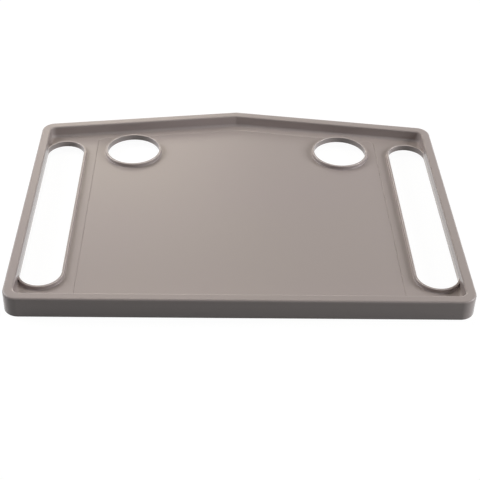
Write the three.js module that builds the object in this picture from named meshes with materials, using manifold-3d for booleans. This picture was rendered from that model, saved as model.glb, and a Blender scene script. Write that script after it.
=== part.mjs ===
// A tray that drops over the hand grips of a walking frame: one thin-walled plastic moulding.
// A straight front edge, two straight sides and a peaked rear edge carry a hollow rim that is open below.
// Inside the rim lie a shallow dished floor, two long grip slots and two cup holes, each with a raised lip.
// Millimetres. X runs to the user's right, Y away from the user, Z up.
// The origin is on the surface that the tray stands on, under the middle of its bounding box.
import * as THREE from "three";
import { mergeVertices } from "three/addons/utils/BufferGeometryUtils.js";
import Module from "manifold-3d";

// Outline, seen from above.
const WIDTH = 533;
const SIDE_LENGTH = 367;
const PEAK_RISE = 37.5;
const CORNER_RADIUS = 18;
const PEAK_RADIUS = 14;

// Heights above the table.
const HEIGHT = 26;
const DISH_DEPTH = 15.5;
const LIP_HEIGHT = 5;

// Rim, a channel turned upside down: skirt outside, flat band on top, wall to the floor inside.
const RIM_WIDTH = 12;
const SKIRT_WALL = 2.5;
const RIM_TOP_WALL = 2.5;
const INNER_WALL = 2.5;
const RIM_OUTER_ROUND = 2.8;
const RIM_INNER_ROUND = 2;
const INNER_CORNER_RADIUS = 8;
const DRAFT_DEGREES = 0.8;

// Floor, with a panel let into it a little way in from the rim and the slots.
const FLOOR_WALL = 3;
const FLOOR_COVE = 4;
const PANEL_DEPTH = 0.5;
const PANEL_STEP = 1.2;
const PANEL_MARGIN = 11;
const PANEL_SLOT_MARGIN = 15;
const PANEL_CORNER_RADIUS = 7;

// Grip slots, whose outer sides run just inside the face of the rim's inner wall.
const SLOT_WIDTH = 49;
const SLOT_LENGTH = 301.5;
const SLOT_FRONT_GAP = 36.5;
const SLOT_INTO_WALL = 0.5;

// Cup holes.
const CUP_DIAMETER = 69.5;
const CUP_SPACING = 280;
const CUP_FROM_REAR_CORNERS = 45;

// Raised lip round each slot and hole.
const LIP_WALL = 2.8;
const LIP_ROUND = 0.9;
const LIP_COVE = 1;

// Webs that tie the skirt to the inner wall inside the rim.
const WEB_THICKNESS = 1.8;
const WEB_PITCH = 78;
const WEB_RECESS = 1;

// Stiffening ribs under the floor.
const RIB_THICKNESS = 1.8;
const RIB_HEIGHT = 4;
const LONG_RIB_SHARES = [-1, -1 / 3, 1 / 3, 1];
const CROSS_RIB_SHARES = [0.32, 0.66];

// Every cutter runs this far past the face that it opens, and added material is sunk this far.
const OVERRUN = 1;
const SUNK = 1;

// Smoothness of the curved stretches.
const CORNER_STEPS = 7;
const PEAK_STEPS = 2;
const ROUND_STEPS = 3;
const HOLE_STEPS = 48;

// Places worked out from the sizes above. Rounding its corner takes a little off the peak.
const REAR_SLOPE = PEAK_RISE / (WIDTH / 2);
const PEAK_LOSS = PEAK_RADIUS * (Math.hypot(1, REAR_SLOPE) - 1);
const FRONT_Y = -(SIDE_LENGTH + PEAK_RISE - PEAK_LOSS) / 2;
const REAR_CORNER_Y = FRONT_Y + SIDE_LENGTH;
const PEAK_Y = REAR_CORNER_Y + PEAK_RISE;
const FLOOR_TOP = HEIGHT - DISH_DEPTH;
const FLOOR_UNDERSIDE = FLOOR_TOP - FLOOR_WALL;
const PANEL_TOP = FLOOR_TOP - PANEL_DEPTH;
const LIP_TOP = FLOOR_TOP + LIP_HEIGHT;
const SLOT_X = WIDTH / 2 - RIM_WIDTH + SLOT_INTO_WALL - SLOT_WIDTH / 2;
const SLOT_Y = FRONT_Y + SLOT_FRONT_GAP + SLOT_LENGTH / 2;
const CUP_X = CUP_SPACING / 2;
const CUP_Y = REAR_CORNER_Y - CUP_FROM_REAR_CORNERS;
const PANEL_HALF_WIDTH = SLOT_X - SLOT_WIDTH / 2 - PANEL_SLOT_MARGIN;

const wasm = await Module();
wasm.setup();

// How far a wall leans over a given height, so that the moulding leaves its mould.
function draft(height) {
  return height * Math.tan(THREE.MathUtils.degToRad(DRAFT_DEGREES));
}

// Turn a three.js geometry into a solid that can be joined and cut.
function solidOf(geometry) {
  const bare = geometry.index ? geometry.toNonIndexed() : geometry.clone();
  bare.deleteAttribute("normal");
  bare.deleteAttribute("uv");
  const merged = mergeVertices(bare);
  const mesh = new wasm.Mesh({
    numProp: 3,
    vertProperties: new Float32Array(merged.attributes.position.array),
    triVerts: new Uint32Array(merged.index.array),
  });
  return new wasm.Manifold(mesh);
}

// Turn a solid back into a three.js geometry.
function geometryOf(solid) {
  const mesh = solid.getMesh();
  const geometry = new THREE.BufferGeometry();
  geometry.setAttribute("position", new THREE.BufferAttribute(mesh.vertProperties, mesh.numProp));
  geometry.setIndex(new THREE.BufferAttribute(mesh.triVerts, 1));
  geometry.computeVertexNormals();
  return geometry;
}

// Round the corners of a convex outline; each corner is { at, radius, steps }.
function roundedOutline(corners) {
  return corners.flatMap(({ at, radius, steps }, i) => {
    const before = corners.at(i - 1).at;
    const after = corners[(i + 1) % corners.length].at;
    const back = before.clone().sub(at).normalize();
    const ahead = after.clone().sub(at).normalize();
    const halfAngle = Math.acos(back.dot(ahead)) / 2;
    const towardsCentre = back.clone().add(ahead).normalize();
    const centre = at.clone().addScaledVector(towardsCentre, radius / Math.sin(halfAngle));
    const middle = towardsCentre.clone().negate().angle();
    const sweep = Math.PI - 2 * halfAngle;
    return Array.from({ length: steps + 1 }, (_, step) => {
      const angle = middle + sweep * (step / steps - 1 / 2);
      return centre.clone().add(new THREE.Vector2(Math.cos(angle), Math.sin(angle)).multiplyScalar(radius));
    });
  });
}

// The tray's five-cornered outline, drawn in from its edges by the given distances.
function trayOutline({ side, front, rear, radius, peakRadius }) {
  const halfWidth = WIDTH / 2 - side;
  const frontY = FRONT_Y + front;
  const rearY = (x) => PEAK_Y - REAR_SLOPE * x - rear * Math.hypot(1, REAR_SLOPE);
  const corner = (x, y) => ({ at: new THREE.Vector2(x, y), radius, steps: CORNER_STEPS });
  return roundedOutline([
    corner(-halfWidth, frontY),
    corner(halfWidth, frontY),
    corner(halfWidth, rearY(halfWidth)),
    { at: new THREE.Vector2(0, rearY(0)), radius: peakRadius, steps: PEAK_STEPS },
    corner(-halfWidth, rearY(halfWidth)),
  ]);
}

// The same outline drawn in evenly all round.
function evenOutline(inset, radius) {
  return trayOutline({ side: inset, front: inset, rear: inset, radius, peakRadius: PEAK_RADIUS });
}

// An outline with straight sides along Y and full-round ends.
function slotOutline(x, y, width, length) {
  const radius = width / 2;
  const reach = (length - width) / 2;
  const halfTurn = HOLE_STEPS / 2;
  const end = (centreY, firstAngle) => Array.from({ length: halfTurn + 1 }, (_, step) => {
    const angle = firstAngle + Math.PI * step / halfTurn;
    return new THREE.Vector2(x + radius * Math.cos(angle), centreY + radius * Math.sin(angle));
  });
  return [...end(y + reach, 0), ...end(y - reach, Math.PI)];
}

function circleOutline(x, y, radius) {
  return Array.from({ length: HOLE_STEPS }, (_, step) => {
    const angle = 2 * Math.PI * step / HOLE_STEPS;
    return new THREE.Vector2(x + radius * Math.cos(angle), y + radius * Math.sin(angle));
  });
}

// Loft a closed solid through level outlines, listed from the lowest up, each { z, outline }.
function loft(levels) {
  const count = levels[0].outline.length;
  const positions = levels.flatMap(({ z, outline }) => outline.flatMap((point) => [point.x, point.y, z]));
  const cap = THREE.ShapeUtils.triangulateShape(levels[0].outline, []);
  const last = (levels.length - 1) * count;
  const index = [];
  for (const [a, b, c] of cap) index.push(a, c, b, last + a, last + b, last + c);
  for (let level = 0; level < levels.length - 1; level += 1) {
    for (let i = 0; i < count; i += 1) {
      const low = level * count + i;
      const lowNext = level * count + (i + 1) % count;
      index.push(low, lowNext, lowNext + count, low, lowNext + count, low + count);
    }
  }
  const geometry = new THREE.BufferGeometry();
  geometry.setAttribute("position", new THREE.Float32BufferAttribute(positions, 3));
  geometry.setIndex(index);
  return solidOf(geometry);
}

// A quarter round from 0 to 90 degrees as pairs { across, up }, both running from 0 to the radius.
function quarterRound(radius) {
  return Array.from({ length: ROUND_STEPS + 1 }, (_, step) => {
    const angle = (Math.PI / 2) * step / ROUND_STEPS;
    return { across: radius * (1 - Math.cos(angle)), up: radius * Math.sin(angle) };
  });
}

function box(width, depth, height, x, y, z, turn = 0) {
  const geometry = new THREE.BoxGeometry(width, depth, height);
  geometry.rotateZ(turn);
  geometry.translate(x, y, z);
  return solidOf(geometry);
}

// The block that the moulding fills: leaning skirt faces and a rounded outer top edge.
function outerBlock() {
  const shoulder = HEIGHT - RIM_OUTER_ROUND;
  const level = (z, inset) => ({ z, outline: evenOutline(inset, CORNER_RADIUS - inset) });
  const topEdge = quarterRound(RIM_OUTER_ROUND)
    .map(({ across, up }) => level(shoulder + up, draft(shoulder) + across));
  return loft([level(0, 0), ...topEdge]);
}

// The dish above the floor: a cove at its foot, leaning walls and a rounded inner top edge.
function dish() {
  const wallInset = (z) => RIM_WIDTH + draft(HEIGHT - z);
  const level = (z, inset) => ({ z, outline: evenOutline(inset, INNER_CORNER_RADIUS + RIM_WIDTH - inset) });
  const coveTop = FLOOR_TOP + FLOOR_COVE;
  const cove = quarterRound(FLOOR_COVE)
    .map(({ across, up }) => level(FLOOR_TOP + across, wallInset(coveTop) + FLOOR_COVE - up));
  const shoulder = HEIGHT - RIM_INNER_ROUND;
  const topEdge = quarterRound(RIM_INNER_ROUND)
    .map(({ across, up }) => level(shoulder + up, wallInset(shoulder) - across));
  return loft([...cove, ...topEdge, { ...topEdge.at(-1), z: HEIGHT + OVERRUN }]);
}

// The panel let into the floor, with a sloping edge.
function panelRecess() {
  const level = (z, step) => ({
    z,
    outline: trayOutline({
      side: WIDTH / 2 - PANEL_HALF_WIDTH + step,
      front: RIM_WIDTH + PANEL_MARGIN + step,
      rear: RIM_WIDTH + PANEL_MARGIN + step,
      radius: PANEL_CORNER_RADIUS - step,
      peakRadius: PEAK_RADIUS,
    }),
  });
  return loft([level(PANEL_TOP, PANEL_STEP), level(FLOOR_TOP, 0), level(FLOOR_TOP + OVERRUN, 0)]);
}

// The open space below: all of it under the floor, and the channel inside the rim above that.
function underside() {
  const channelTop = HEIGHT - RIM_TOP_WALL;
  const skirtLevel = (z) => {
    const inset = SKIRT_WALL + draft(z);
    return { z, outline: evenOutline(inset, CORNER_RADIUS - inset) };
  };
  const coreLevel = (z) => {
    const inset = RIM_WIDTH - INNER_WALL + draft(HEIGHT - z);
    return { z, outline: evenOutline(inset, INNER_CORNER_RADIUS + RIM_WIDTH - inset) };
  };
  const hollow = loft([skirtLevel(-OVERRUN), skirtLevel(channelTop)]);
  const core = loft([coreLevel(FLOOR_UNDERSIDE), coreLevel(HEIGHT + OVERRUN)]);
  return hollow.subtract(core);
}

// Webs across the rim's channel, evenly spaced along each edge and clear of the corners.
function channelWebs() {
  const halfWidth = WIDTH / 2;
  const edges = [
    [new THREE.Vector2(-halfWidth, FRONT_Y), new THREE.Vector2(halfWidth, FRONT_Y)],
    [new THREE.Vector2(halfWidth, FRONT_Y), new THREE.Vector2(halfWidth, REAR_CORNER_Y)],
    [new THREE.Vector2(halfWidth, REAR_CORNER_Y), new THREE.Vector2(0, PEAK_Y)],
    [new THREE.Vector2(0, PEAK_Y), new THREE.Vector2(-halfWidth, REAR_CORNER_Y)],
    [new THREE.Vector2(-halfWidth, REAR_CORNER_Y), new THREE.Vector2(-halfWidth, FRONT_Y)],
  ];
  const base = FLOOR_UNDERSIDE + WEB_RECESS;
  const top = HEIGHT - RIM_TOP_WALL + SUNK;
  return edges.flatMap(([start, end]) => {
    const along = end.clone().sub(start);
    const inward = new THREE.Vector2(-along.y, along.x).normalize();
    const count = Math.round(along.length() / WEB_PITCH);
    return Array.from({ length: count }, (_, i) => {
      const centre = start.clone().addScaledVector(along, (i + 1 / 2) / count);
      centre.addScaledVector(inward, RIM_WIDTH / 2);
      const depth = RIM_WIDTH - 2 * SUNK;
      return box(WEB_THICKNESS, depth, top - base, centre.x, centre.y, (top + base) / 2, along.angle());
    });
  });
}

// Ribs under the floor: long ones between the skirts, cross ones between the outer long ones.
function floorRibs() {
  const base = FLOOR_UNDERSIDE - RIB_HEIGHT;
  const top = FLOOR_UNDERSIDE + SUNK;
  const middleZ = (top + base) / 2;
  const edge = SKIRT_WALL / 2;
  const long = LONG_RIB_SHARES.map((share) => {
    const x = share * PANEL_HALF_WIDTH;
    const rearY = PEAK_Y - REAR_SLOPE * Math.abs(x) - edge;
    const frontY = FRONT_Y + edge;
    return box(RIB_THICKNESS, rearY - frontY, top - base, x, (rearY + frontY) / 2, middleZ);
  });
  const cross = CROSS_RIB_SHARES.map((share) => {
    const y = FRONT_Y + share * SIDE_LENGTH;
    return box(2 * PANEL_HALF_WIDTH, RIB_THICKNESS, top - base, 0, y, middleZ);
  });
  return [...long, ...cross];
}

// A raised lip before its hole is cut: a cove at its foot and a rounded outer top edge.
// outlineAt gives the hole's outline grown by a distance.
function lipBlock(outlineAt, footZ) {
  const level = (z, offset) => ({ z, outline: outlineAt(offset) });
  const cove = quarterRound(LIP_COVE)
    .map(({ across, up }) => level(footZ + across, LIP_WALL + LIP_COVE - up));
  const topEdge = quarterRound(LIP_ROUND)
    .map(({ across, up }) => level(LIP_TOP - LIP_ROUND + up, LIP_WALL - across));
  return loft([{ ...cove[0], z: footZ - SUNK }, ...cove, ...topEdge]);
}

// The straight hole through floor and lip.
function holeBore(outlineAt) {
  const level = (z) => ({ z, outline: outlineAt(0) });
  return loft([level(-OVERRUN), level(LIP_TOP + OVERRUN)]);
}

// The rounding of the lip's inner top edge.
function holeFlare(outlineAt) {
  const level = (z, offset) => ({ z, outline: outlineAt(offset) });
  const topEdge = quarterRound(LIP_ROUND)
    .map(({ across, up }) => level(LIP_TOP - LIP_ROUND + up, across));
  return loft([...topEdge, { ...topEdge.at(-1), z: LIP_TOP + OVERRUN }]);
}

function trayMoulding() {
  const dishSpace = dish();
  let tray = outerBlock().subtract(underside());
  for (const stiffener of [...channelWebs(), ...floorRibs()]) tray = tray.add(stiffener);
  tray = tray.subtract(dishSpace).subtract(panelRecess());

  const insideRim = loft([FLOOR_UNDERSIDE, HEIGHT].map((z) => {
    const inset = RIM_WIDTH - INNER_WALL / 2;
    return { z, outline: evenOutline(inset, INNER_CORNER_RADIUS + RIM_WIDTH - inset) };
  }));
  for (const side of [-1, 1]) {
    const slotAt = (offset) => {
      return slotOutline(side * SLOT_X, SLOT_Y, SLOT_WIDTH + 2 * offset, SLOT_LENGTH + 2 * offset);
    };
    const cupAt = (offset) => circleOutline(side * CUP_X, CUP_Y, CUP_DIAMETER / 2 + offset);
    tray = tray.add(lipBlock(slotAt, FLOOR_TOP).intersect(insideRim));
    tray = tray.add(lipBlock(cupAt, PANEL_TOP));
    tray = tray.subtract(holeBore(slotAt)).subtract(holeFlare(slotAt).intersect(dishSpace));
    tray = tray.subtract(holeBore(cupAt)).subtract(holeFlare(cupAt));
  }
  return tray;
}

const trayPlastic = new THREE.MeshStandardMaterial({ color: "#a69d9c", roughness: 0.42, metalness: 0 });
const tray = new THREE.Mesh(geometryOf(trayMoulding()), trayPlastic);
tray.name = "tray_moulding";

const walkerTray = new THREE.Group();
walkerTray.add(tray);

export default walkerTray;
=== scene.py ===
"""A walker tray: one injection moulding that drops over the hand grips of a walking frame.

Laid out as a Blender add-on and run as a script. Lengths in the property groups are metres, as Blender keeps
them, and their defaults are written in millimetres times MM.
"""

import math

import bmesh
import bpy
from bpy.props import FloatProperty, FloatVectorProperty, IntProperty, PointerProperty
from mathutils import Matrix, Vector


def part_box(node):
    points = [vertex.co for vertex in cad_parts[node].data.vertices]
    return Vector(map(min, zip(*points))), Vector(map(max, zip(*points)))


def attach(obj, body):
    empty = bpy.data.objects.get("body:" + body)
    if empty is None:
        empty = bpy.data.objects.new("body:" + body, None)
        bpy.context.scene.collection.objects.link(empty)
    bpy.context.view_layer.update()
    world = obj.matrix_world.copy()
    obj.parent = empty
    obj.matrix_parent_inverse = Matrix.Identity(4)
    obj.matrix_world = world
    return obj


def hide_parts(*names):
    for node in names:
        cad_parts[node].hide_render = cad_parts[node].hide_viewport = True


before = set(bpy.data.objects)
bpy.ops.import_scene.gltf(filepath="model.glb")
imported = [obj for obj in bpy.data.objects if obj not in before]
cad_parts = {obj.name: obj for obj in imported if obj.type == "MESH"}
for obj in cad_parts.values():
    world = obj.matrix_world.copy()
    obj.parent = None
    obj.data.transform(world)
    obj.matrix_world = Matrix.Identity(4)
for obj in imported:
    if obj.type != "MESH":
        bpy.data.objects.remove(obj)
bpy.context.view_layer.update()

bl_info = {
    "name": "Walker tray",
    "version": (1, 0, 0),
    "blender": (4, 5, 0),
    "location": "3D View > Sidebar > Walker tray",
    "description": "Builds a moulded tray for a walking frame, its plastic and the studio that it stands in",
    "category": "Object",
}

MM = 0.001
NODE = "tray_moulding"
BODY = "root"

# The box of the solid model, from straight after the frame is loaded
LOW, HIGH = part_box(NODE)


def linear(colour):
    """The linear RGB of a six-figure sRGB hex colour."""
    def channel(value):
        return value / 12.92 if value <= 0.04045 else ((value + 0.055) / 1.055) ** 2.4

    return tuple(channel(int(colour[i:i + 2], 16) / 255) for i in (1, 3, 5))


def length(default, name, description):
    """A length property, whose default is given in metres."""
    return FloatProperty(
        name=name, description=description, default=default, min=0, precision=5,
        unit="LENGTH", subtype="DISTANCE")


def colour(default, name, description):
    """A colour property, whose default is an sRGB hex value."""
    return FloatVectorProperty(
        name=name, description=description, default=linear(default), min=0, max=1, size=3, subtype="COLOR")


def share(default, name, description, most=1):
    """A property for a number without a unit."""
    return FloatProperty(name=name, description=description, default=default, min=0, max=most, precision=3)


def watts(default, name, description):
    """A property for the power of a lamp."""
    return FloatProperty(name=name, description=description, default=default, min=0, unit="POWER")


class WALKERTRAY_PG_outline(bpy.types.PropertyGroup):
    """The tray seen from above, and its heights."""

    width: length(HIGH.x - LOW.x, "Width", "Overall width of the skirt at its foot")
    height: length(HIGH.z - LOW.z, "Height", "From the table to the top of the rim")
    depth: length(HIGH.y - LOW.y, "Depth", "From the straight front edge to the peak of the rear edge")
    peak_rise: length(37.5 * MM, "Peak rise", "How far the unrounded peak stands behind the rear corners")
    corner_radius: length(18 * MM, "Corner radius", "Radius of the skirt's four corners at its foot")
    peak_radius: length(14 * MM, "Peak radius", "Radius of the blunt corner at the peak")
    dish_depth: length(15.5 * MM, "Dish depth", "From the top of the rim down to the floor")


class WALKERTRAY_PG_rim(bpy.types.PropertyGroup):
    """The hollow rim: a channel turned upside down."""

    width: length(12 * MM, "Width", "From the skirt's foot to the inner wall")
    skirt_wall: length(2.5 * MM, "Skirt wall", "Thickness of the outer wall")
    top_wall: length(2.5 * MM, "Top wall", "Thickness of the flat band on top")
    inner_wall: length(2.5 * MM, "Inner wall", "Thickness of the wall down to the floor")
    outer_round: length(2.8 * MM, "Outer round", "Radius of the outer top edge")
    inner_round: length(2 * MM, "Inner round", "Radius of the inner top edge")
    foot_round: length(0.5 * MM, "Foot round", "Radius of the edges that the tray stands on")
    inner_corner_radius: length(8 * MM, "Inner corner radius", "Radius of the dish's corners at the top")
    draft: FloatProperty(
        name="Draft", description="Lean of the walls, which lets the moulding leave its mould",
        default=math.radians(0.8), min=0, max=0.1, unit="ROTATION", subtype="ANGLE")


class WALKERTRAY_PG_floor(bpy.types.PropertyGroup):
    """The dished floor and the panel let into it."""

    wall: length(3 * MM, "Wall", "Thickness of the floor")
    cove: length(4 * MM, "Cove", "Radius between the floor and the rim's inner wall")
    panel_depth: length(0.5 * MM, "Panel depth", "How deep the panel is let in")
    panel_step: length(1.2 * MM, "Panel step", "Width of the panel's sloping edge")
    panel_margin: length(11 * MM, "Panel margin", "From the rim's inner wall to the panel, front and rear")
    panel_slot_margin: length(15 * MM, "Panel slot margin", "From the grip slots to the panel")
    panel_corner_radius: length(7 * MM, "Panel corner radius", "Radius of the panel's corners")
    crease_width: length(0.8 * MM, "Crease width", "Width of the groove at the foot of the panel's edge")
    crease_depth: length(0.25 * MM, "Crease depth", "Depth of that groove")


class WALKERTRAY_PG_holes(bpy.types.PropertyGroup):
    """The grip slots, the cup holes and the lips round them."""

    slot_width: length(49 * MM, "Slot width", "Width of a grip slot")
    slot_length: length(301.5 * MM, "Slot length", "Length of a grip slot")
    slot_front_gap: length(36.5 * MM, "Slot front gap", "From the front edge of the tray to the slots")
    slot_into_wall: length(0.5 * MM, "Slot into wall", "How far the slots' outer sides bite into the wall")
    cup_diameter: length(69.5 * MM, "Cup diameter", "Diameter of a cup hole")
    cup_spacing: length(280 * MM, "Cup spacing", "Between the middles of the cup holes")
    cup_from_rear: length(45 * MM, "Cup from rear", "From the rear corners to the cup holes' middles")
    lip_height: length(5 * MM, "Lip height", "How far the lips stand above the floor")
    lip_wall: length(2.8 * MM, "Lip wall", "Thickness of a lip")
    lip_round: length(0.9 * MM, "Lip round", "Radius of a lip's top edges")
    lip_cove: length(1 * MM, "Lip cove", "Radius at the foot of a lip")


class WALKERTRAY_PG_stiffeners(bpy.types.PropertyGroup):
    """Webs inside the rim and ribs under the floor."""

    web_thickness: length(1.8 * MM, "Web thickness", "Thickness of a web across the rim's channel")
    web_pitch: length(78 * MM, "Web pitch", "Target spacing of the webs along an edge")
    web_recess: length(1 * MM, "Web recess", "From the floor's underside up to the lower edge of a web")
    rib_thickness: length(1.8 * MM, "Rib thickness", "Thickness of a rib under the floor")
    rib_height: length(4 * MM, "Rib height", "How far the ribs stand below the floor")
    long_ribs: IntProperty(name="Long ribs", description="Ribs that run from front to rear", default=4, min=2)
    cross_ribs: IntProperty(name="Cross ribs", description="Ribs that run across", default=2, min=1)
    first_cross_share: share(0.32, "First cross rib", "Its place along the side, as a share of the side")
    cross_pitch_share: share(0.34, "Cross rib pitch", "Spacing of the cross ribs, as a share of the side")


class WALKERTRAY_PG_finish(bpy.types.PropertyGroup):
    """The satin ABS that the tray is moulded in."""

    plastic: colour("#ABA0A1", "Plastic", "Colour of the moulded plastic")
    plastic_warm: colour("#ACA39F", "Warm plastic", "The slightly warmer tone that the pigment drifts to")
    cloud: length(200 * MM, "Cloud", "Width of the clouds in which the pigment drifts")
    # Painted highlight: the paler colour that stands in for the lights that edges catch
    highlight_colour: colour("#D8CECB", "Painted highlight", "Colour painted on edges in place of the highlights that lamps give them")
    highlight_spot: length(30 * MM, "Highlight spot", "Size of the spots in which the painted highlight comes and goes")
    highlight_least: share(0.6, "Least highlight", "Share of the painted highlight where an edge gets the least of it")
    roughness: share(0.35, "Roughness", "Roughness of the satin level faces")
    wall_roughness: share(0.14, "Wall roughness", "Roughness of the walls and rounded edges")
    patch: length(20 * MM, "Patch", "Size of the patches in which the gloss changes")
    patch_change: share(0.03, "Patch change", "How much the roughness rises or falls in a patch")
    refraction: share(1.53, "Index of refraction", "Typical of ABS", 3)
    specular: share(0.35, "Specular level", "Below the usual half, because the grain traps some light")
    grain: length(0.7 * MM, "Grain", "Size of the satin grain, coarser than the real 0.1 mm so that it shows")
    grain_depth: length(0.012 * MM, "Grain depth", "Depth of the satin grain")
    wave: length(110 * MM, "Wave", "Size of the slight unevenness of a large moulded floor")
    wave_depth: length(0.1 * MM, "Wave depth", "Depth of that unevenness")


class WALKERTRAY_PG_studio(bpy.types.PropertyGroup):
    """The plain white studio."""

    ground: colour("#FFFFFF", "Ground", "Colour of the floor and of the surroundings")
    ground_bounce: share(0.32, "Ground bounce", "Share of light that the floor throws back onto the tray")
    shadow_share: share(0.08, "Shadow share", "How strongly the floor shows the tray's shadow")
    left_power: watts(9.8, "Left power", "Softbox on the left")
    right_power: watts(19, "Right power", "Main softbox, on the right")
    rear_power: watts(5.1, "Rear power", "High softbox, a little behind the tray")
    sheen_power: watts(2.0, "Sheen power", "Low softbox behind on the left, which the level faces reflect")
    front_power: watts(1.0, "Front power", "Softbox above the camera")
    side_tint: colour("#FFFFFF", "Side tint", "Colour of the lamps at the sides and in front")
    rear_tint: colour("#FFF4DE", "Rear tint", "The lamps behind are a little warmer")


class WALKERTRAY_PG_settings(bpy.types.PropertyGroup):
    """All the groups in one place."""

    outline: PointerProperty(type=WALKERTRAY_PG_outline)
    rim: PointerProperty(type=WALKERTRAY_PG_rim)
    floor: PointerProperty(type=WALKERTRAY_PG_floor)
    holes: PointerProperty(type=WALKERTRAY_PG_holes)
    stiffeners: PointerProperty(type=WALKERTRAY_PG_stiffeners)
    finish: PointerProperty(type=WALKERTRAY_PG_finish)
    studio: PointerProperty(type=WALKERTRAY_PG_studio)


# Smoothness of the curved stretches
CORNER_STEPS = 16
PEAK_STEPS = 6
ROUND_STEPS = 8
HOLE_STEPS = 144

# Every cutter runs this far past the face that it opens, and added material is sunk this far
OVERRUN = 1 * MM
SUNK = 1 * MM

# A face counts as lying on a slot's outer side when its middle is this close to it
SLIVER = 0.6 * MM

# A face's normal has little of a direction below the one share, and nearly all of it above the other
LITTLE = 0.1
NEARLY_ALL = 0.98

# Two faces that meet at more than this are shaded apart
CREASE_ANGLE = math.radians(25)

# The weighted normals follow the largest faces
LARGEST_FACES = 100

# Points of the finished mesh that lie closer than this become one
WELD = 0.0001 * MM

# Mesh attributes: 0 on level faces and 1 on upright ones, and 1 on edges that get a painted highlight
STEEPNESS = "steepness"
PAINTED_HIGHLIGHT = "rubbing"

# The softboxes: name, place, side length and the setting that colours them, in metres
SOFTBOXES = (
    ("left", (-1.05, 0.35, 0.66), 0.7, "side_tint"),
    ("right", (1.55, -0.22, 0.72), 0.8, "side_tint"),
    ("rear", (-0.15, 0.55, 1.4), 0.7, "rear_tint"),
    ("sheen", (-0.25, 1.35, 0.7), 0.5, "rear_tint"),
    ("front", (0.35, -1.15, 1.15), 0.8, "side_tint"),
)

# How far the studio floor reaches from its middle
FLOOR_REACH = 4.0

# The camera, solved from the tray's outline in the photograph. Lengths in metres and angles in radians,
# apart from the sensor, which Blender gives in millimetres
PICTURE_WIDTH_PIXELS = 480
FOCAL_LENGTH_PIXELS = 1034.22
SENSOR_WIDTH = 36
CAMERA_PLACE = (-0.03381, -1.06243, 0.783993)
YAW, PITCH, ROLL = 0.03535, 0.663037, 0.031212
NEAREST_SEEN, FARTHEST_SEEN = 0.05, 20


class Plan:
    """Places worked out from the sizes."""

    def __init__(self, settings):
        outline, rim, floor, holes = settings.outline, settings.rim, settings.floor, settings.holes
        self.settings = settings
        self.half_width = outline.width / 2
        self.slope = outline.peak_rise / self.half_width
        peak_loss = outline.peak_radius * (math.hypot(1, self.slope) - 1)
        self.front = -outline.depth / 2
        self.peak = outline.depth / 2 + peak_loss
        self.rear_corner = self.peak - outline.peak_rise
        self.side_length = self.rear_corner - self.front
        self.floor_top = outline.height - outline.dish_depth
        self.floor_underside = self.floor_top - floor.wall
        self.panel_top = self.floor_top - floor.panel_depth
        self.lip_top = self.floor_top + holes.lip_height
        self.slot_x = self.half_width - rim.width + holes.slot_into_wall - holes.slot_width / 2
        self.slot_y = self.front + holes.slot_front_gap + holes.slot_length / 2
        self.cup_x = holes.cup_spacing / 2
        self.cup_y = self.rear_corner - holes.cup_from_rear
        self.panel_half_width = self.slot_x - holes.slot_width / 2 - floor.panel_slot_margin

    def draft(self, height):
        """How far a wall leans over a height."""
        return height * math.tan(self.settings.rim.draft)

    def outline(self, side, front, rear, radius, peak_radius):
        """The five-cornered outline, drawn in from its edges by the given distances."""
        x = self.half_width - side
        front_y = self.front + front

        def rear_y(at):
            return self.peak - self.slope * at - rear * math.hypot(1, self.slope)

        return rounded([
            (Vector((-x, front_y)), radius, CORNER_STEPS),
            (Vector((x, front_y)), radius, CORNER_STEPS),
            (Vector((x, rear_y(x))), radius, CORNER_STEPS),
            (Vector((0, rear_y(0))), peak_radius, PEAK_STEPS),
            (Vector((-x, rear_y(x))), radius, CORNER_STEPS),
        ])

    def even(self, inset, radius):
        """The outline drawn in evenly all round."""
        return self.outline(inset, inset, inset, radius, self.settings.outline.peak_radius)

    def skirt(self, inset):
        """An outline that keeps the roundness of the outer corners."""
        return self.even(inset, self.settings.outline.corner_radius - inset)

    def wall(self, inset):
        """An outline that keeps the roundness of the dish's corners."""
        return self.even(inset, self.settings.rim.inner_corner_radius + self.settings.rim.width - inset)

    def slot(self, side, grown):
        """A grip slot's outline: straight sides and full-round ends."""
        holes = self.settings.holes
        radius = holes.slot_width / 2 + grown
        reach = (holes.slot_length - holes.slot_width) / 2
        half_turn = HOLE_STEPS // 2
        points = []
        for way in (1, -1):
            for step in range(half_turn + 1):
                angle = math.pi * (step / half_turn + (0 if way > 0 else 1))
                x = side * self.slot_x + radius * math.cos(angle)
                points.append(Vector((x, self.slot_y + way * reach + radius * math.sin(angle))))
        return points

    def cup(self, side, grown):
        """A cup hole's outline."""
        radius = self.settings.holes.cup_diameter / 2 + grown
        turns = [2 * math.pi * step / HOLE_STEPS for step in range(HOLE_STEPS)]
        centre = Vector((side * self.cup_x, self.cup_y))
        return [centre + radius * Vector((math.cos(turn), math.sin(turn))) for turn in turns]


def rounded(corners):
    """A convex outline with rounded corners, each given as (place, radius, steps)."""
    points = []
    for i, (place, radius, steps) in enumerate(corners):
        back = (corners[i - 1][0] - place).normalized()
        ahead = (corners[(i + 1) % len(corners)][0] - place).normalized()
        half_angle = back.angle(ahead) / 2
        inward = (back + ahead).normalized()
        centre = place + inward * radius / math.sin(half_angle)
        middle = math.atan2(-inward.y, -inward.x)
        sweep = math.pi - 2 * half_angle
        for step in range(steps + 1):
            angle = middle + sweep * (step / steps - 1 / 2)
            points.append(centre + radius * Vector((math.cos(angle), math.sin(angle))))
    return points


def quarter_round(radius):
    """A quarter round as pairs (across, up), both running from 0 to the radius."""
    turns = [math.pi / 2 * step / ROUND_STEPS for step in range(ROUND_STEPS + 1)]
    return [(radius * (1 - math.cos(turn)), radius * math.sin(turn)) for turn in turns]


def add_object(name, mesh):
    """A new object with this mesh, in the scene."""
    made = bpy.data.objects.new(name, mesh)
    bpy.context.scene.collection.objects.link(made)
    return made


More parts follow.
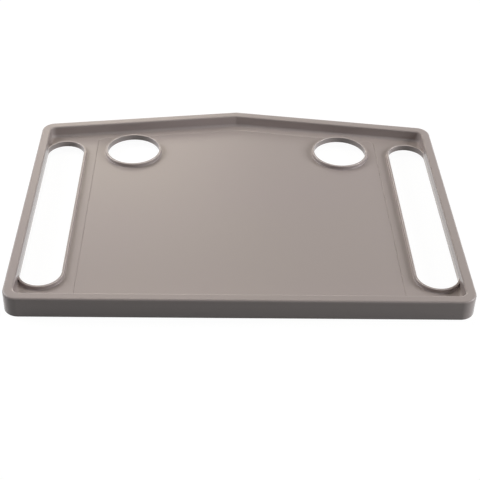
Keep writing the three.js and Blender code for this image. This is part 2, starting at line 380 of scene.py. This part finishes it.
def loft(name, levels):
    """A closed body through level outlines, each (z, outline), from the lowest up."""
    form = bmesh.new()
    rings = [[form.verts.new((point.x, point.y, z)) for point in outline] for z, outline in levels]
    form.faces.new(reversed(rings[0]))
    form.faces.new(rings[-1])
    for low, high in zip(rings, rings[1:]):
        for i in range(len(low)):
            after = (i + 1) % len(low)
            form.faces.new((low[i], low[after], high[after], high[i]))
    mesh = bpy.data.meshes.new(name)
    form.to_mesh(mesh)
    form.free()
    return add_object(name, mesh)


def settle(target):
    """Turn what an object's modifiers make into its plain mesh."""
    seen = target.evaluated_get(bpy.context.evaluated_depsgraph_get())
    mesh = bpy.data.meshes.new_from_object(seen)
    target.modifiers.clear()
    old = target.data
    target.data = mesh
    bpy.data.meshes.remove(old)


def combine(target, tool, operation, crossing=False):
    """Join a tool's body to the target, cut it away or keep what both share, and use the tool up.

    crossing says that the tool's own bodies run through each other.
    """
    step = target.modifiers.new("Combine", "BOOLEAN")
    step.operation = operation
    step.solver = "EXACT"
    step.use_self = crossing
    step.object = tool
    settle(target)
    bpy.data.objects.remove(tool)
    if not target.data.polygons:
        raise RuntimeError(f"{target.name}: nothing is left after {operation}")
    return target


def add_node(tree, kind, links=None, **settings):
    """Add a node. links maps each input's name or number to a value or to the socket that feeds it."""
    node = tree.nodes.new(kind)
    for key, value in settings.items():
        setattr(node, key, value)
    for key, value in (links or {}).items():
        if isinstance(value, bpy.types.NodeSocket):
            tree.links.new(value, node.inputs[key])
        else:
            node.inputs[key].default_value = value
    return node


def geometry_tree(name, inputs):
    """A geometry node tree with named inputs, given as {name: socket type}."""
    tree = bpy.data.node_groups.new(name, "GeometryNodeTree")
    for label, kind in inputs.items():
        tree.interface.new_socket(name=label, in_out="INPUT", socket_type=kind)
    tree.interface.new_socket(name="Geometry", in_out="OUTPUT", socket_type="NodeSocketGeometry")
    return tree


def grow(name, mesh, tree, values):
    """Run a geometry node tree on a mesh with the given values, and keep the result as a plain mesh."""
    made = add_object(name, mesh)
    modifier = made.modifiers.new(name, "NODES")
    modifier.node_group = tree
    for item in tree.interface.items_tree:
        if item.in_out == "INPUT" and item.name in values:
            modifier[item.identifier] = values[item.name]
    made.update_tag()
    settle(made)
    if not made.data.polygons:
        raise RuntimeError(f"{name}: the node tree made nothing")
    return made


def web_tree():
    """Boxes across a channel, evenly spaced along each stretch of its middle line."""
    tree = geometry_tree("Channel webs", {
        "Middle line": "NodeSocketGeometry", "Pitch": "NodeSocketFloat", "Thickness": "NodeSocketFloat",
        "Depth": "NodeSocketFloat", "Base": "NodeSocketFloat", "Top": "NodeSocketFloat",
        "Material": "NodeSocketMaterial"})
    given = add_node(tree, "NodeGroupInput").outputs
    curve = add_node(tree, "GeometryNodeMeshToCurve", {"Mesh": given["Middle line"]})
    run = add_node(tree, "GeometryNodeSplineLength")
    pitches = add_node(
        tree, "ShaderNodeMath", {0: run.outputs["Length"], 1: given["Pitch"]}, operation="DIVIDE")
    whole = add_node(tree, "ShaderNodeMath", {0: pitches.outputs[0]}, operation="ROUND")
    count = add_node(tree, "ShaderNodeMath", {0: whole.outputs[0], 1: 1.0}, operation="ADD")
    split = add_node(tree, "GeometryNodeResampleCurve", {
        "Curve": curve.outputs["Curve"], "Count": count.outputs[0]}, mode="COUNT")
    line = add_node(tree, "GeometryNodeCurveToMesh", {"Curve": split.outputs["Curve"]})
    ends = add_node(tree, "GeometryNodeInputMeshEdgeVertices")
    along = add_node(
        tree, "ShaderNodeVectorMath", {0: ends.outputs["Position 2"], 1: ends.outputs["Position 1"]},
        operation="SUBTRACT")
    kept = add_node(tree, "GeometryNodeCaptureAttribute", {"Geometry": line.outputs["Mesh"]}, domain="EDGE")
    kept.capture_items.new("VECTOR", "Along")
    tree.links.new(along.outputs["Vector"], kept.inputs["Along"])
    places = add_node(tree, "GeometryNodeMeshToPoints", {"Mesh": kept.outputs["Geometry"]}, mode="EDGES")
    turn = add_node(tree, "FunctionNodeAlignRotationToVector", {"Vector": kept.outputs["Along"]}, axis="X")
    tall = add_node(tree, "ShaderNodeMath", {0: given["Top"], 1: given["Base"]}, operation="SUBTRACT")
    size = add_node(
        tree, "ShaderNodeCombineXYZ", {"X": given["Thickness"], "Y": given["Depth"], "Z": tall.outputs[0]})
    web = add_node(tree, "GeometryNodeMeshCube", {"Size": size.outputs["Vector"]})
    webs = add_node(tree, "GeometryNodeInstanceOnPoints", {
        "Points": places.outputs["Points"], "Instance": web.outputs["Mesh"],
        "Rotation": turn.outputs["Rotation"]})
    total = add_node(tree, "ShaderNodeMath", {0: given["Top"], 1: given["Base"]}, operation="ADD")
    middle = add_node(tree, "ShaderNodeMath", {0: total.outputs[0], 1: 2.0}, operation="DIVIDE")
    rise = add_node(tree, "ShaderNodeCombineXYZ", {"Z": middle.outputs[0]})
    raised = add_node(tree, "GeometryNodeTranslateInstances", {
        "Instances": webs.outputs["Instances"], "Translation": rise.outputs["Vector"], "Local Space": False})
    real = add_node(tree, "GeometryNodeRealizeInstances", {"Geometry": raised.outputs["Instances"]})
    painted = add_node(tree, "GeometryNodeSetMaterial", {
        "Geometry": real.outputs["Geometry"], "Material": given["Material"]})
    add_node(tree, "NodeGroupOutput", {"Geometry": painted.outputs["Geometry"]})
    return tree


def rib_tree():
    """Long ribs from the front skirt to the peaked rear one, and cross ribs between the outer ones."""
    tree = geometry_tree("Floor ribs", {
        "Geometry": "NodeSocketGeometry", "Long ribs": "NodeSocketInt", "Cross ribs": "NodeSocketInt",
        "Half width": "NodeSocketFloat", "Front": "NodeSocketFloat", "Peak": "NodeSocketFloat",
        "Slope": "NodeSocketFloat", "First cross rib": "NodeSocketFloat", "Cross pitch": "NodeSocketFloat",
        "Thickness": "NodeSocketFloat", "Base": "NodeSocketFloat", "Top": "NodeSocketFloat",
        "Material": "NodeSocketMaterial"})
    given = add_node(tree, "NodeGroupInput").outputs
    tall = add_node(tree, "ShaderNodeMath", {0: given["Top"], 1: given["Base"]}, operation="SUBTRACT")
    total = add_node(tree, "ShaderNodeMath", {0: given["Top"], 1: given["Base"]}, operation="ADD")
    middle_z = add_node(tree, "ShaderNodeMath", {0: total.outputs[0], 1: 2.0}, operation="DIVIDE")
    spread = add_node(tree, "ShaderNodeMath", {0: given["Half width"], 1: 2.0}, operation="MULTIPLY")
    block = add_node(tree, "GeometryNodeMeshCube", {"Size": (1.0, 1.0, 1.0)})

    # The long ribs: their length follows the rear edge, which falls away on both sides of the peak
    gaps = add_node(tree, "ShaderNodeMath", {0: given["Long ribs"], 1: 1.0}, operation="SUBTRACT")
    pitch = add_node(tree, "ShaderNodeMath", {0: spread.outputs[0], 1: gaps.outputs[0]}, operation="DIVIDE")
    left = add_node(tree, "ShaderNodeMath", {0: given["Half width"], 1: -1.0}, operation="MULTIPLY")
    first_long = add_node(tree, "ShaderNodeCombineXYZ", {"X": left.outputs[0], "Z": middle_z.outputs[0]})
    long_step = add_node(tree, "ShaderNodeCombineXYZ", {"X": pitch.outputs[0]})
    long_line = add_node(tree, "GeometryNodeMeshLine", {
        "Count": given["Long ribs"], "Start Location": first_long.outputs["Vector"],
        "Offset": long_step.outputs["Vector"]}, mode="OFFSET")
    place = add_node(tree, "GeometryNodeInputPosition")
    parts = add_node(tree, "ShaderNodeSeparateXYZ", {"Vector": place.outputs["Position"]})
    aside = add_node(tree, "ShaderNodeMath", {0: parts.outputs["X"]}, operation="ABSOLUTE")
    fall = add_node(tree, "ShaderNodeMath", {0: aside.outputs[0], 1: given["Slope"]}, operation="MULTIPLY")
    rear = add_node(tree, "ShaderNodeMath", {0: given["Peak"], 1: fall.outputs[0]}, operation="SUBTRACT")
    reach = add_node(tree, "ShaderNodeMath", {0: rear.outputs[0], 1: given["Front"]}, operation="SUBTRACT")
    both = add_node(tree, "ShaderNodeMath", {0: rear.outputs[0], 1: given["Front"]}, operation="ADD")
    middle_y = add_node(tree, "ShaderNodeMath", {0: both.outputs[0], 1: 2.0}, operation="DIVIDE")
    back = add_node(tree, "ShaderNodeCombineXYZ", {"Y": middle_y.outputs[0]})
    long_places = add_node(tree, "GeometryNodeSetPosition", {
        "Geometry": long_line.outputs["Mesh"], "Offset": back.outputs["Vector"]})
    long_size = add_node(
        tree, "ShaderNodeCombineXYZ", {"X": given["Thickness"], "Y": reach.outputs[0], "Z": tall.outputs[0]})
    long_ribs = add_node(tree, "GeometryNodeInstanceOnPoints", {
        "Points": long_places.outputs["Geometry"], "Instance": block.outputs["Mesh"],
        "Scale": long_size.outputs["Vector"]})

    # The cross ribs
    first_cross = add_node(
        tree, "ShaderNodeCombineXYZ", {"Y": given["First cross rib"], "Z": middle_z.outputs[0]})
    cross_step = add_node(tree, "ShaderNodeCombineXYZ", {"Y": given["Cross pitch"]})
    cross_line = add_node(tree, "GeometryNodeMeshLine", {
        "Count": given["Cross ribs"], "Start Location": first_cross.outputs["Vector"],
        "Offset": cross_step.outputs["Vector"]}, mode="OFFSET")
    cross_size = add_node(
        tree, "ShaderNodeCombineXYZ", {"X": spread.outputs[0], "Y": given["Thickness"], "Z": tall.outputs[0]})
    cross_ribs = add_node(tree, "GeometryNodeInstanceOnPoints", {
        "Points": cross_line.outputs["Mesh"], "Instance": block.outputs["Mesh"],
        "Scale": cross_size.outputs["Vector"]})

    ribs = add_node(tree, "GeometryNodeJoinGeometry", {"Geometry": long_ribs.outputs["Instances"]})
    tree.links.new(cross_ribs.outputs["Instances"], ribs.inputs["Geometry"])
    real = add_node(tree, "GeometryNodeRealizeInstances", {"Geometry": ribs.outputs["Geometry"]})
    painted = add_node(tree, "GeometryNodeSetMaterial", {
        "Geometry": real.outputs["Geometry"], "Material": given["Material"]})
    add_node(tree, "NodeGroupOutput", {"Geometry": painted.outputs["Geometry"]})
    return tree


def satin_abs(finish):
    """ABS, injection moulded in a finely blasted steel mould.

    The blasted mould leaves an even satin grain, so that lamps show as broad soft sheens and never as
    sharp spots. The pigment is mixed into the plastic and drifts very slightly over the part. A thin wide
    floor never comes out quite flat, so its sheen wanders a little. Walls are smoother, and so are the edges
    that get a painted highlight: a paler colour that stands in for the lights they catch.
    """
    name = "Satin moulded ABS"
    material = bpy.data.materials.get(name)
    if material:
        return material
    material = bpy.data.materials.new(name)
    material.use_nodes = True
    tree = material.node_tree
    tree.nodes.clear()
    place = add_node(tree, "ShaderNodeTexCoord").outputs["Object"]

    # Pigment, drifting in wide clouds
    cloud = add_node(tree, "ShaderNodeTexNoise", {
        "Vector": place, "Scale": 1 / finish.cloud, "Detail": 2.0, "Roughness": 0.5})
    tone = add_node(tree, "ShaderNodeMix", {
        "Factor": cloud.outputs["Fac"], 6: (*finish.plastic, 1), 7: (*finish.plastic_warm, 1)},
        data_type="RGBA")

    # Painted highlight: a paler colour on edges that the lamps catch, here more and there less
    highlight_mask = add_node(tree, "ShaderNodeAttribute", attribute_name=PAINTED_HIGHLIGHT)
    spot = add_node(tree, "ShaderNodeTexNoise", {
        "Vector": place, "Scale": 1 / finish.highlight_spot, "Detail": 2.0})
    highlight_share = add_node(tree, "ShaderNodeMapRange", {
        "Value": spot.outputs["Fac"], "To Min": finish.highlight_least, "To Max": 1.0})
    rubbing = add_node(tree, "ShaderNodeMath", {
        0: highlight_mask.outputs["Fac"], 1: highlight_share.outputs["Result"]}, operation="MULTIPLY")
    tone = add_node(tree, "ShaderNodeMix", {
        "Factor": rubbing.outputs[0], 6: tone.outputs[2], 7: (*finish.highlight_colour, 1)}, data_type="RGBA")

    # Satin grain, and the slow unevenness of the floor
    grain = add_node(tree, "ShaderNodeTexNoise", {
        "Vector": place, "Scale": 1 / finish.grain, "Detail": 1.0, "Roughness": 0.6})
    wave = add_node(tree, "ShaderNodeTexNoise", {
        "Vector": place, "Scale": 1 / finish.wave, "Detail": 1.0, "Roughness": 0.4})
    waved = add_node(tree, "ShaderNodeBump", {
        "Strength": 1.0, "Distance": finish.wave_depth, "Height": wave.outputs["Fac"]})
    grained = add_node(tree, "ShaderNodeBump", {
        "Strength": 1.0, "Distance": finish.grain_depth, "Height": grain.outputs["Fac"],
        "Normal": waved.outputs["Normal"]})

    # The mould's walls are left smoother than its level faces, so that the part slides out, and the edges
    # that get the painted highlight are smoother as well. Both shine more
    steep = add_node(tree, "ShaderNodeAttribute", attribute_name=STEEPNESS)
    smooth = add_node(
        tree, "ShaderNodeMath", {0: steep.outputs["Fac"], 1: highlight_mask.outputs["Fac"]}, operation="MAXIMUM")
    facing = add_node(tree, "ShaderNodeMapRange", {
        "Value": smooth.outputs[0], "To Min": finish.roughness, "To Max": finish.wall_roughness})

    # The satin is a touch glossier where the mould was blasted less
    patch = add_node(tree, "ShaderNodeTexNoise", {"Vector": place, "Scale": 1 / finish.patch, "Detail": 3.0})
    uneven = add_node(tree, "ShaderNodeMapRange", {
        "Value": patch.outputs["Fac"], "To Min": -finish.patch_change, "To Max": finish.patch_change})
    gloss = add_node(
        tree, "ShaderNodeMath", {0: facing.outputs["Result"], 1: uneven.outputs["Result"]}, operation="ADD")
    shader = add_node(tree, "ShaderNodeBsdfPrincipled", {
        "Base Color": tone.outputs[2], "Roughness": gloss.outputs[0], "IOR": finish.refraction,
        "Specular IOR Level": finish.specular, "Normal": grained.outputs["Normal"]})
    add_node(tree, "ShaderNodeOutputMaterial", {"Surface": shader.outputs["BSDF"]})
    return material


def the_tray():
    """The piece that the operators work on."""
    tray = bpy.data.objects.get("tray")
    if tray is None:
        raise RuntimeError("Build the rim first")
    return tray


class WALKERTRAY_OT_rim(bpy.types.Operator):
    """Build the block that the moulding fills and hollow it out from below"""

    bl_idname = "walker_tray.rim"
    bl_label = "Rim and skirt"

    def execute(self, context):
        plan = Plan(context.scene.walker_tray)
        outline, rim = plan.settings.outline, plan.settings.rim
        shoulder = outline.height - rim.outer_round
        foot = [(rim.foot_round - up, plan.draft(rim.foot_round - up) + across)
                for across, up in reversed(quarter_round(rim.foot_round))]
        top = [(shoulder + up, plan.draft(shoulder) + across)
               for across, up in quarter_round(rim.outer_round)]
        tray = loft("tray", [(z, plan.skirt(inset)) for z, inset in foot + top])

        channel_top = outline.height - rim.top_wall
        hollow_levels = [(z, rim.skirt_wall + plan.draft(z)) for z in (-OVERRUN, channel_top)]
        hollow = loft("hollow", [(z, plan.skirt(inset)) for z, inset in hollow_levels])
        core_levels = [(z, rim.width - rim.inner_wall + plan.draft(outline.height - z))
                       for z in (plan.floor_underside, outline.height + OVERRUN)]
        core = loft("core", [(z, plan.wall(inset)) for z, inset in core_levels])
        combine(tray, combine(hollow, core, "DIFFERENCE"), "DIFFERENCE")
        return {"FINISHED"}


class WALKERTRAY_OT_webs(bpy.types.Operator):
    """Tie the skirt to the inner wall with webs inside the rim"""

    bl_idname = "walker_tray.webs"
    bl_label = "Channel webs"

    def execute(self, context):
        plan = Plan(context.scene.walker_tray)
        rim, stiffeners = plan.settings.rim, plan.settings.stiffeners
        x = plan.half_width
        corners = [Vector(at) for at in (
            (-x, plan.front, 0), (x, plan.front, 0), (x, plan.rear_corner, 0), (0, plan.peak, 0),
            (-x, plan.rear_corner, 0))]
        points = []
        for start, end in zip(corners, corners[1:] + corners[:1]):
            along = (end - start).normalized()
            inward = Vector((-along.y, along.x, 0)) * rim.width / 2
            points += [start + inward, end + inward]
        mesh = bpy.data.meshes.new("webs")
        mesh.from_pydata(points, [(i, i + 1) for i in range(0, len(points), 2)], [])
        webs = grow("webs", mesh, web_tree(), {
            "Pitch": stiffeners.web_pitch, "Thickness": stiffeners.web_thickness,
            "Depth": rim.width - 2 * SUNK,
            "Base": plan.floor_underside + stiffeners.web_recess,
            "Top": plan.settings.outline.height - rim.top_wall + SUNK,
            "Material": satin_abs(plan.settings.finish)})
        combine(the_tray(), webs, "UNION")
        return {"FINISHED"}


class WALKERTRAY_OT_ribs(bpy.types.Operator):
    """Stiffen the floor from below with long ribs and cross ribs"""

    bl_idname = "walker_tray.ribs"
    bl_label = "Floor ribs"

    def execute(self, context):
        plan = Plan(context.scene.walker_tray)
        stiffeners = plan.settings.stiffeners
        edge = plan.settings.rim.skirt_wall / 2
        ribs = grow("ribs", bpy.data.meshes.new("ribs"), rib_tree(), {
            "Long ribs": stiffeners.long_ribs, "Cross ribs": stiffeners.cross_ribs,
            "Half width": plan.panel_half_width, "Front": plan.front + edge, "Peak": plan.peak - edge,
            "Slope": plan.slope,
            "First cross rib": plan.front + stiffeners.first_cross_share * plan.side_length,
            "Cross pitch": stiffeners.cross_pitch_share * plan.side_length,
            "Thickness": stiffeners.rib_thickness, "Base": plan.floor_underside - stiffeners.rib_height,
            "Top": plan.floor_underside + SUNK, "Material": satin_abs(plan.settings.finish)})
        combine(the_tray(), ribs, "UNION", crossing=True)
        return {"FINISHED"}


class WALKERTRAY_OT_dish(bpy.types.Operator):
    """Sink the dish into the block, with a cove at its foot, and let the panel into its floor"""

    bl_idname = "walker_tray.dish"
    bl_label = "Dish and panel"

    def execute(self, context):
        plan = Plan(context.scene.walker_tray)
        combine(the_tray(), dish_space(plan), "DIFFERENCE")
        floor, rim = plan.settings.floor, plan.settings.rim
        margin = rim.width + floor.panel_margin
        side = plan.half_width - plan.panel_half_width

        def level(z, step):
            return z, plan.outline(
                side + step, margin + step, margin + step, floor.panel_corner_radius - step,
                plan.settings.outline.peak_radius)

        levels = [(plan.panel_top, floor.panel_step), (plan.floor_top, 0), (plan.floor_top + OVERRUN, 0)]
        combine(the_tray(), loft("panel", [level(z, step) for z, step in levels]), "DIFFERENCE")

        # The crease, half as wide at its bottom
        bottom, slant = plan.panel_top - floor.crease_depth, floor.crease_width / 4
        near, far = floor.panel_step, floor.panel_step + floor.crease_width
        outside = loft("outside", [
            level(bottom, near + slant), level(plan.panel_top, near), level(plan.floor_top + OVERRUN, near)])
        inside = loft("inside", [
            level(bottom - OVERRUN, far - slant), level(bottom, far - slant), level(plan.panel_top, far),
            level(plan.floor_top + 2 * OVERRUN, far)])
        combine(the_tray(), combine(outside, inside, "DIFFERENCE"), "DIFFERENCE")
        return {"FINISHED"}


def dish_space(plan):
    """The space above the floor: a cove at its foot, leaning walls and a rounded inner top edge."""
    height, rim, cove = plan.settings.outline.height, plan.settings.rim, plan.settings.floor.cove

    def inset(z):
        return rim.width + plan.draft(height - z)

    foot = [(plan.floor_top + across, inset(plan.floor_top + cove) + cove - up)
            for across, up in quarter_round(cove)]
    shoulder = height - rim.inner_round
    top = [(shoulder + up, inset(shoulder) - across) for across, up in quarter_round(rim.inner_round)]
    levels = foot + top + [(height + OVERRUN, top[-1][1])]
    return loft("dish", [(z, plan.wall(at)) for z, at in levels])


class WALKERTRAY_OT_holes(bpy.types.Operator):
    """Raise a lip round each grip slot and cup hole, and cut the holes"""

    bl_idname = "walker_tray.holes"
    bl_label = "Slots, cup holes and lips"

    def execute(self, context):
        plan = Plan(context.scene.walker_tray)
        rim = plan.settings.rim
        tray = the_tray()
        for side in (-1, 1):
            inside = loft("inside", [(z, plan.wall(rim.width - rim.inner_wall / 2))
                                     for z in (plan.floor_underside, plan.settings.outline.height)])
            slot_lip = combine(lip_block(plan, plan.slot, side, plan.floor_top), inside, "INTERSECT")
            combine(tray, slot_lip, "UNION")
            combine(tray, lip_block(plan, plan.cup, side, plan.panel_top), "UNION")
            for outline_at in (plan.slot, plan.cup):
                combine(tray, hole(plan, outline_at, side), "DIFFERENCE")
        return {"FINISHED"}


def lip_block(plan, outline_at, side, foot):
    """A lip before its hole is cut: a cove at its foot and a rounded outer top edge."""
    holes = plan.settings.holes
    shoulder = plan.lip_top - holes.lip_round
    cove = [(foot + across, holes.lip_wall + holes.lip_cove - up)
            for across, up in quarter_round(holes.lip_cove)]
    top = [(shoulder + up, holes.lip_wall - across) for across, up in quarter_round(holes.lip_round)]
    levels = [(foot - SUNK, cove[0][1])] + cove + top
    return loft("lip", [(z, outline_at(side, grown)) for z, grown in levels])


def hole(plan, outline_at, side):
    """The hole through floor and lip. Its lower edge is eased and the lip's inner top edge rounded.

    The rounding stops at the slots' outer sides, where the rim's wall stands in place of a lip.
    """
    holes = plan.settings.holes
    ease, under = plan.settings.rim.foot_round, plan.floor_underside
    shoulder = plan.lip_top - holes.lip_round
    most = plan.slot_x + holes.slot_width / 2
    bore = [(-OVERRUN, ease), (under, ease)]
    bore += [(under + up, ease - across) for up, across in quarter_round(ease)]
    flare = [(shoulder + up, across) for across, up in quarter_round(holes.lip_round)]
    flare += [(plan.lip_top + OVERRUN, holes.lip_round)]
    levels = [(z, outline_at(side, grown)) for z, grown in bore]
    for z, grown in flare:
        levels.append((z, [Vector((max(-most, min(most, at.x)), at.y)) for at in outline_at(side, grown)]))
    return loft("hole", levels)


class WALKERTRAY_OT_finish(bpy.types.Operator):
    """Give the moulding its plastic and its shading, and stand it in for the solid"""

    bl_idname = "walker_tray.finish"
    bl_label = "Plastic and shading"

    def execute(self, context):
        plan = Plan(context.scene.walker_tray)
        tray = the_tray()
        mesh = tray.data
        mesh.materials.clear()
        mesh.materials.append(satin_abs(plan.settings.finish))
        form = bmesh.new()
        form.from_mesh(mesh)
        bmesh.ops.remove_doubles(form, verts=form.verts, dist=WELD)
        bmesh.ops.dissolve_degenerate(form, edges=form.edges, dist=WELD)
        form.normal_update()
        steepness = form.faces.layers.float.new(STEEPNESS)
        rubbing = form.faces.layers.float.new(PAINTED_HIGHLIGHT)
        for face in form.faces:
            face.material_index = 0
            face.smooth = True
            face[steepness] = 1 - abs(face.normal.z)
            # Painted highlight: marks the edges that get the paler colour
            face[rubbing] = gets_painted_highlight(face, plan)
        for edge in form.edges:
            edge.smooth = edge.calc_face_angle(math.pi) < CREASE_ANGLE
            if not edge.is_manifold:
                raise RuntimeError("The moulding has an open edge")
        form.to_mesh(mesh)
        form.free()
        weighted = tray.modifiers.new("Weighted normals", "WEIGHTED_NORMAL")
        weighted.keep_sharp = True
        weighted.weight = LARGEST_FACES
        settle(tray)
        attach(tray, BODY)
        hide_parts(NODE)
        return {"FINISHED"}


def gets_painted_highlight(face, plan):
    """Whether a face gets the painted highlight: a paler colour that stands in for the light its edge
    catches.

    It goes on the lips' rounded edges, the rim's inner edge in front and the slots' outer sides.
    """
    rim, holes = plan.settings.rim, plan.settings.holes
    middle, normal = face.calc_center_median(), face.normal
    beside_slot = abs(abs(middle.x) - plan.slot_x - holes.slot_width / 2) < SLIVER
    slot_side = beside_slot and normal.x * middle.x < 0 and abs(normal.z) < LITTLE
    rounded_edge = middle.z > plan.lip_top - holes.lip_round and LITTLE < normal.z < NEARLY_ALL
    front_edge = middle.y < plan.front + rim.width + rim.inner_corner_radius and normal.y > LITTLE
    return slot_side or rounded_edge and (middle.z < plan.lip_top or front_edge)


class WALKERTRAY_OT_studio(bpy.types.Operator):
    """Lay the white floor, light the tray softly and place the camera"""

    bl_idname = "walker_tray.studio"
    bl_label = "Studio and camera"

    def execute(self, context):
        scene = context.scene
        studio = scene.walker_tray.studio
        scene.view_settings.view_transform = "Standard"

        # Surroundings: white to the eye and in reflections, and no light on the tray besides
        world = bpy.data.worlds.new("Studio surroundings")
        world.use_nodes = True
        tree = world.node_tree
        tree.nodes.clear()
        white = add_node(tree, "ShaderNodeBackground", {
            "Color": (*studio.ground, 1), "Strength": direct_rays(tree)})
        add_node(tree, "ShaderNodeOutputWorld", {"Surface": white.outputs["Background"]})
        scene.world = world

        # Floor: matt white board. To the eye it is almost its own light, so that the shadow stays faint,
        # and as a light on the tray it throws back only a share
        board = bpy.data.materials.new("Matt white board")
        board.use_nodes = True
        tree = board.node_tree
        tree.nodes.clear()
        faint = tuple(part * studio.shadow_share for part in studio.ground)
        thrown_back = tuple(part * studio.ground_bounce for part in studio.ground)
        glow = add_node(tree, "ShaderNodeEmission", {
            "Color": (*studio.ground, 1), "Strength": 1 - studio.shadow_share / 2})
        shadowed = add_node(tree, "ShaderNodeBsdfDiffuse", {"Color": (*faint, 1)})
        shown = add_node(
            tree, "ShaderNodeAddShader", {0: glow.outputs["Emission"], 1: shadowed.outputs["BSDF"]})
        bounce = add_node(tree, "ShaderNodeBsdfDiffuse", {"Color": (*thrown_back, 1)})
        chosen = add_node(tree, "ShaderNodeMixShader", {
            "Fac": direct_rays(tree), 1: bounce.outputs["BSDF"], 2: shown.outputs["Shader"]})
        add_node(tree, "ShaderNodeOutputMaterial", {"Surface": chosen.outputs["Shader"]})
        corners = [(x * FLOOR_REACH, y * FLOOR_REACH, 0) for x, y in ((-1, -1), (1, -1), (1, 1), (-1, 1))]
        mesh = bpy.data.meshes.new("studio_floor")
        mesh.from_pydata(corners, [], [(0, 1, 2, 3)])
        mesh.materials.append(board)
        add_object("studio_floor", mesh)

        for name, place, size, tint in SOFTBOXES:
            power = getattr(studio, f"{name}_power")
            add_softbox(f"{name}_softbox", Vector(place), size, power, getattr(studio, tint))

        # Camera, turned by yaw, pitch and roll from a level look along y
        camera = bpy.data.cameras.new("camera")
        camera.sensor_width = SENSOR_WIDTH
        camera.lens = FOCAL_LENGTH_PIXELS / PICTURE_WIDTH_PIXELS * SENSOR_WIDTH
        camera.clip_start, camera.clip_end = NEAREST_SEEN, FARTHEST_SEEN
        flat = math.cos(PITCH)
        ahead = Vector((math.sin(YAW) * flat, math.cos(YAW) * flat, -math.sin(PITCH)))
        level = Vector((math.cos(YAW), -math.sin(YAW), 0))
        upright = level.cross(ahead)
        right = math.cos(ROLL) * level + math.sin(ROLL) * upright
        up = math.cos(ROLL) * upright - math.sin(ROLL) * level
        seen_from = add_object("camera", camera)
        turn = Matrix((right, up, -ahead)).transposed()
        seen_from.matrix_world = Matrix.Translation(CAMERA_PLACE) @ turn.to_4x4()
        scene.camera = seen_from
        return {"FINISHED"}


def direct_rays(tree):
    """1 for rays that come from the camera, a reflection or a clear material, and 0 for the rest."""
    rays = add_node(tree, "ShaderNodeLightPath").outputs
    either = add_node(
        tree, "ShaderNodeMath", {0: rays["Is Camera Ray"], 1: rays["Is Glossy Ray"]}, operation="MAXIMUM")
    return add_node(
        tree, "ShaderNodeMath", {0: either.outputs[0], 1: rays["Is Transmission Ray"]},
        operation="MAXIMUM").outputs[0]


def add_softbox(name, place, size, power, tint):
    """A square softbox that faces the tray."""
    lamp = bpy.data.lights.new(name, "AREA")
    lamp.size = size
    lamp.energy = power
    lamp.color = tint
    made = add_object(name, lamp)
    made.location = place
    made.rotation_euler = (-place).to_track_quat("-Z", "Y").to_euler()


class WALKERTRAY_PT_panel(bpy.types.Panel):
    """The steps in order, and the sizes they use"""

    bl_label = "Walker tray"
    bl_idname = "WALKERTRAY_PT_panel"
    bl_space_type = "VIEW_3D"
    bl_region_type = "UI"
    bl_category = "Walker tray"

    def draw(self, context):
        for step in STEPS:
            self.layout.operator(step.bl_idname)
        settings = context.scene.walker_tray
        for group in ("outline", "rim", "floor", "holes", "stiffeners", "finish", "studio"):
            box = self.layout.box()
            box.label(text=group.capitalize())
            for name in getattr(settings, group).__annotations__:
                box.prop(getattr(settings, group), name)


STEPS = (
    WALKERTRAY_OT_rim, WALKERTRAY_OT_webs, WALKERTRAY_OT_ribs, WALKERTRAY_OT_dish, WALKERTRAY_OT_holes,
    WALKERTRAY_OT_finish, WALKERTRAY_OT_studio)
CLASSES = (
    WALKERTRAY_PG_outline, WALKERTRAY_PG_rim, WALKERTRAY_PG_floor, WALKERTRAY_PG_holes,
    WALKERTRAY_PG_stiffeners, WALKERTRAY_PG_finish, WALKERTRAY_PG_studio, WALKERTRAY_PG_settings, *STEPS,
    WALKERTRAY_PT_panel)


def register():
    """Make the steps, their settings and the panel known to Blender."""
    for item in CLASSES:
        bpy.utils.register_class(item)
    bpy.types.Scene.walker_tray = PointerProperty(type=WALKERTRAY_PG_settings)


def unregister():
    """Take back what register did."""
    del bpy.types.Scene.walker_tray
    for item in reversed(CLASSES):
        bpy.utils.unregister_class(item)


def main():
    """Build the tray and its studio."""
    register()
    bpy.ops.walker_tray.rim()
    bpy.ops.walker_tray.webs()
    bpy.ops.walker_tray.ribs()
    bpy.ops.walker_tray.dish()
    bpy.ops.walker_tray.holes()
    bpy.ops.walker_tray.finish()
    bpy.ops.walker_tray.studio()


if __name__ == "__main__":
    main()
